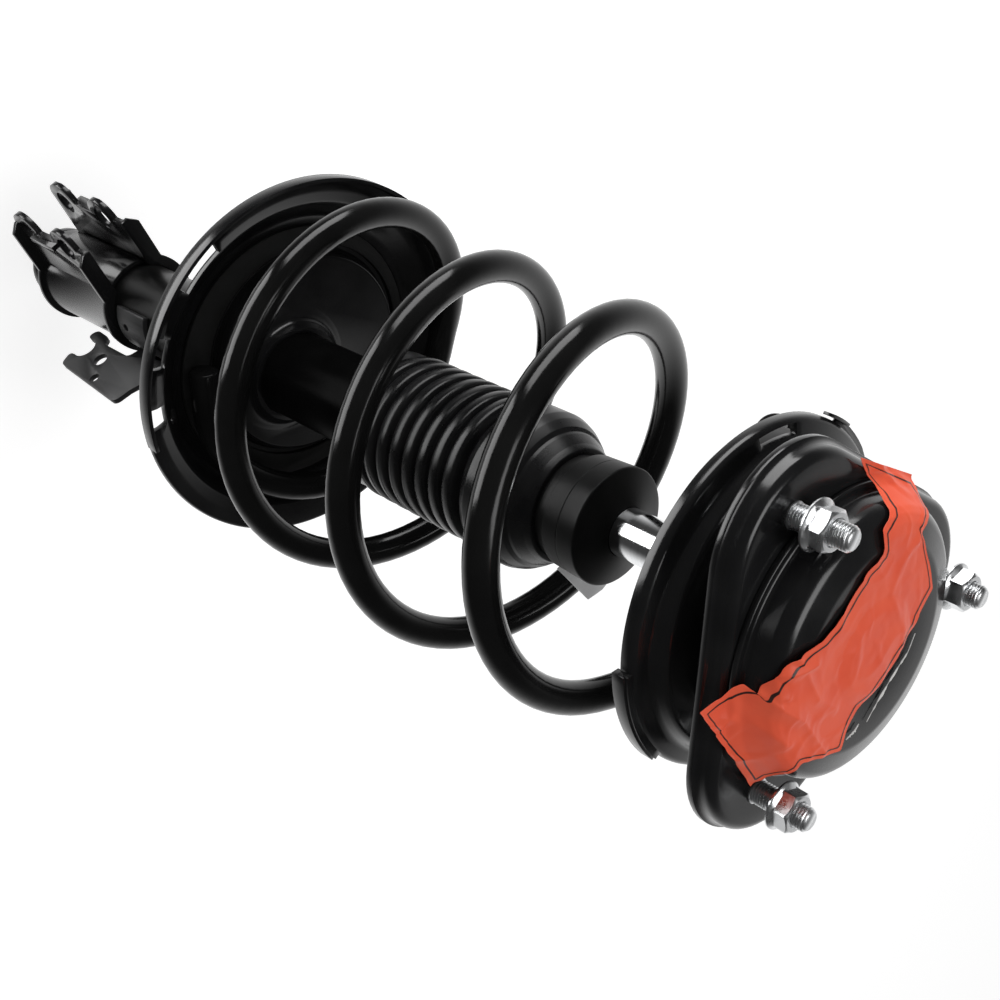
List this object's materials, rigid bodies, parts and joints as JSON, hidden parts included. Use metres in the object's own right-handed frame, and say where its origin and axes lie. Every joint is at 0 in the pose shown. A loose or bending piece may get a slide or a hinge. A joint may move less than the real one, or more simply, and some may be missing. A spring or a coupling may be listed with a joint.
{
  "type": "suspension strut assembly",
  "caption": "Front suspension strut: three-stud top mount with bearing, coil spring between two seats, damper with knuckle and hose brackets.",
  "frame": {"origin": "centre of the circle through the three studs, on the top face of the mount plate", "axes": "+Z along the damper axis towards the tower, +X along the knuckle bolts, +Y from the tube towards the knuckle"},
  "size_m": [0.1981, 0.1963, 0.608],
  "materials": {
    "black_enamel": "gloss black enamel",
    "spring_enamel": "gloss black powder coat",
    "rubber": "matte",
    "bump_rubber": "satin moulded",
    "boot_rubber": "satin moulded",
    "bearing_steel": "polished",
    "machined_steel": "turned",
    "zinc": "bright zinc plate",
    "chrome_rod": "hard chrome",
    "cage_brass": "plain",
    "band_plastic": "matte",
    "orange_label": "satin film, left blank",
    "silver_tag": "satin foil, left blank"
  },
  "bodies": {
    "body_side": {"mount_plate": "black_enamel", "mount_cap": "black_enamel", "dust_cap": "rubber", "mount_base": "black_enamel", "rubber_bush": "rubber", "bearing_outer_race": "bearing_steel", "mount_studs": "zinc", "flange_nuts": "zinc", "label": "orange_label"},
    "ball_cage": {"bearing_balls": "bearing_steel", "bearing_cage": "cage_brass"},
    "rod_side": {"bearing_inner_race": "bearing_steel", "piston_rod": "chrome_rod", "top_washer": "zinc", "top_nut": "zinc", "upper_spring_seat": "black_enamel", "upper_insulator": "rubber", "coil_spring": "spring_enamel", "piston": "machined_steel", "piston_band": "band_plastic", "piston_nut": "zinc", "rebound_stop": "rubber"},
    "bump_side": {"bump_stop": "bump_rubber", "dust_boot": "boot_rubber", "foil_tag": "silver_tag"},
    "wheel_side": {"strut_tube": "black_enamel", "base_cup": "black_enamel", "inner_cylinder": "machined_steel", "foot_valve": "machined_steel", "rod_guide": "machined_steel", "rod_seal": "rubber", "gland_cap": "zinc", "lower_spring_seat": "black_enamel", "lower_insulator": "rubber", "knuckle_bracket": "black_enamel", "bracket_reinforcement": "black_enamel", "hose_bracket": "black_enamel"}
  },
  "joints": [
    {"name": "strut_bearing", "type": "hinge", "parent": "body_side", "child": "rod_side", "pos_m": [0, 0, 0], "axis": [0, 0, 1], "continuous": true},
    {"name": "cage_turn", "type": "hinge", "parent": "body_side", "child": "ball_cage", "pos_m": [0, 0, 0], "axis": [0, 0, 1], "continuous": true},
    {"name": "damper_stroke", "type": "slide", "parent": "rod_side", "child": "wheel_side", "axis": [0, 0, 1], "range_m": [0, 0.137], "stiffness_N_per_m": 22000, "springref_m": -0.04, "deforming": ["coil_spring"]},
    {"name": "bump_slide", "type": "slide", "parent": "rod_side", "child": "bump_side", "axis": [0, 0, 1], "range_m": [0, 0.078]}
  ],
  "couplings": [
    {"joint": "cage_turn", "follows": "strut_bearing", "ratio": 0.378},
    {"joint": "bump_slide", "follows": "damper_stroke", "ratio": 0.569}
  ]
}
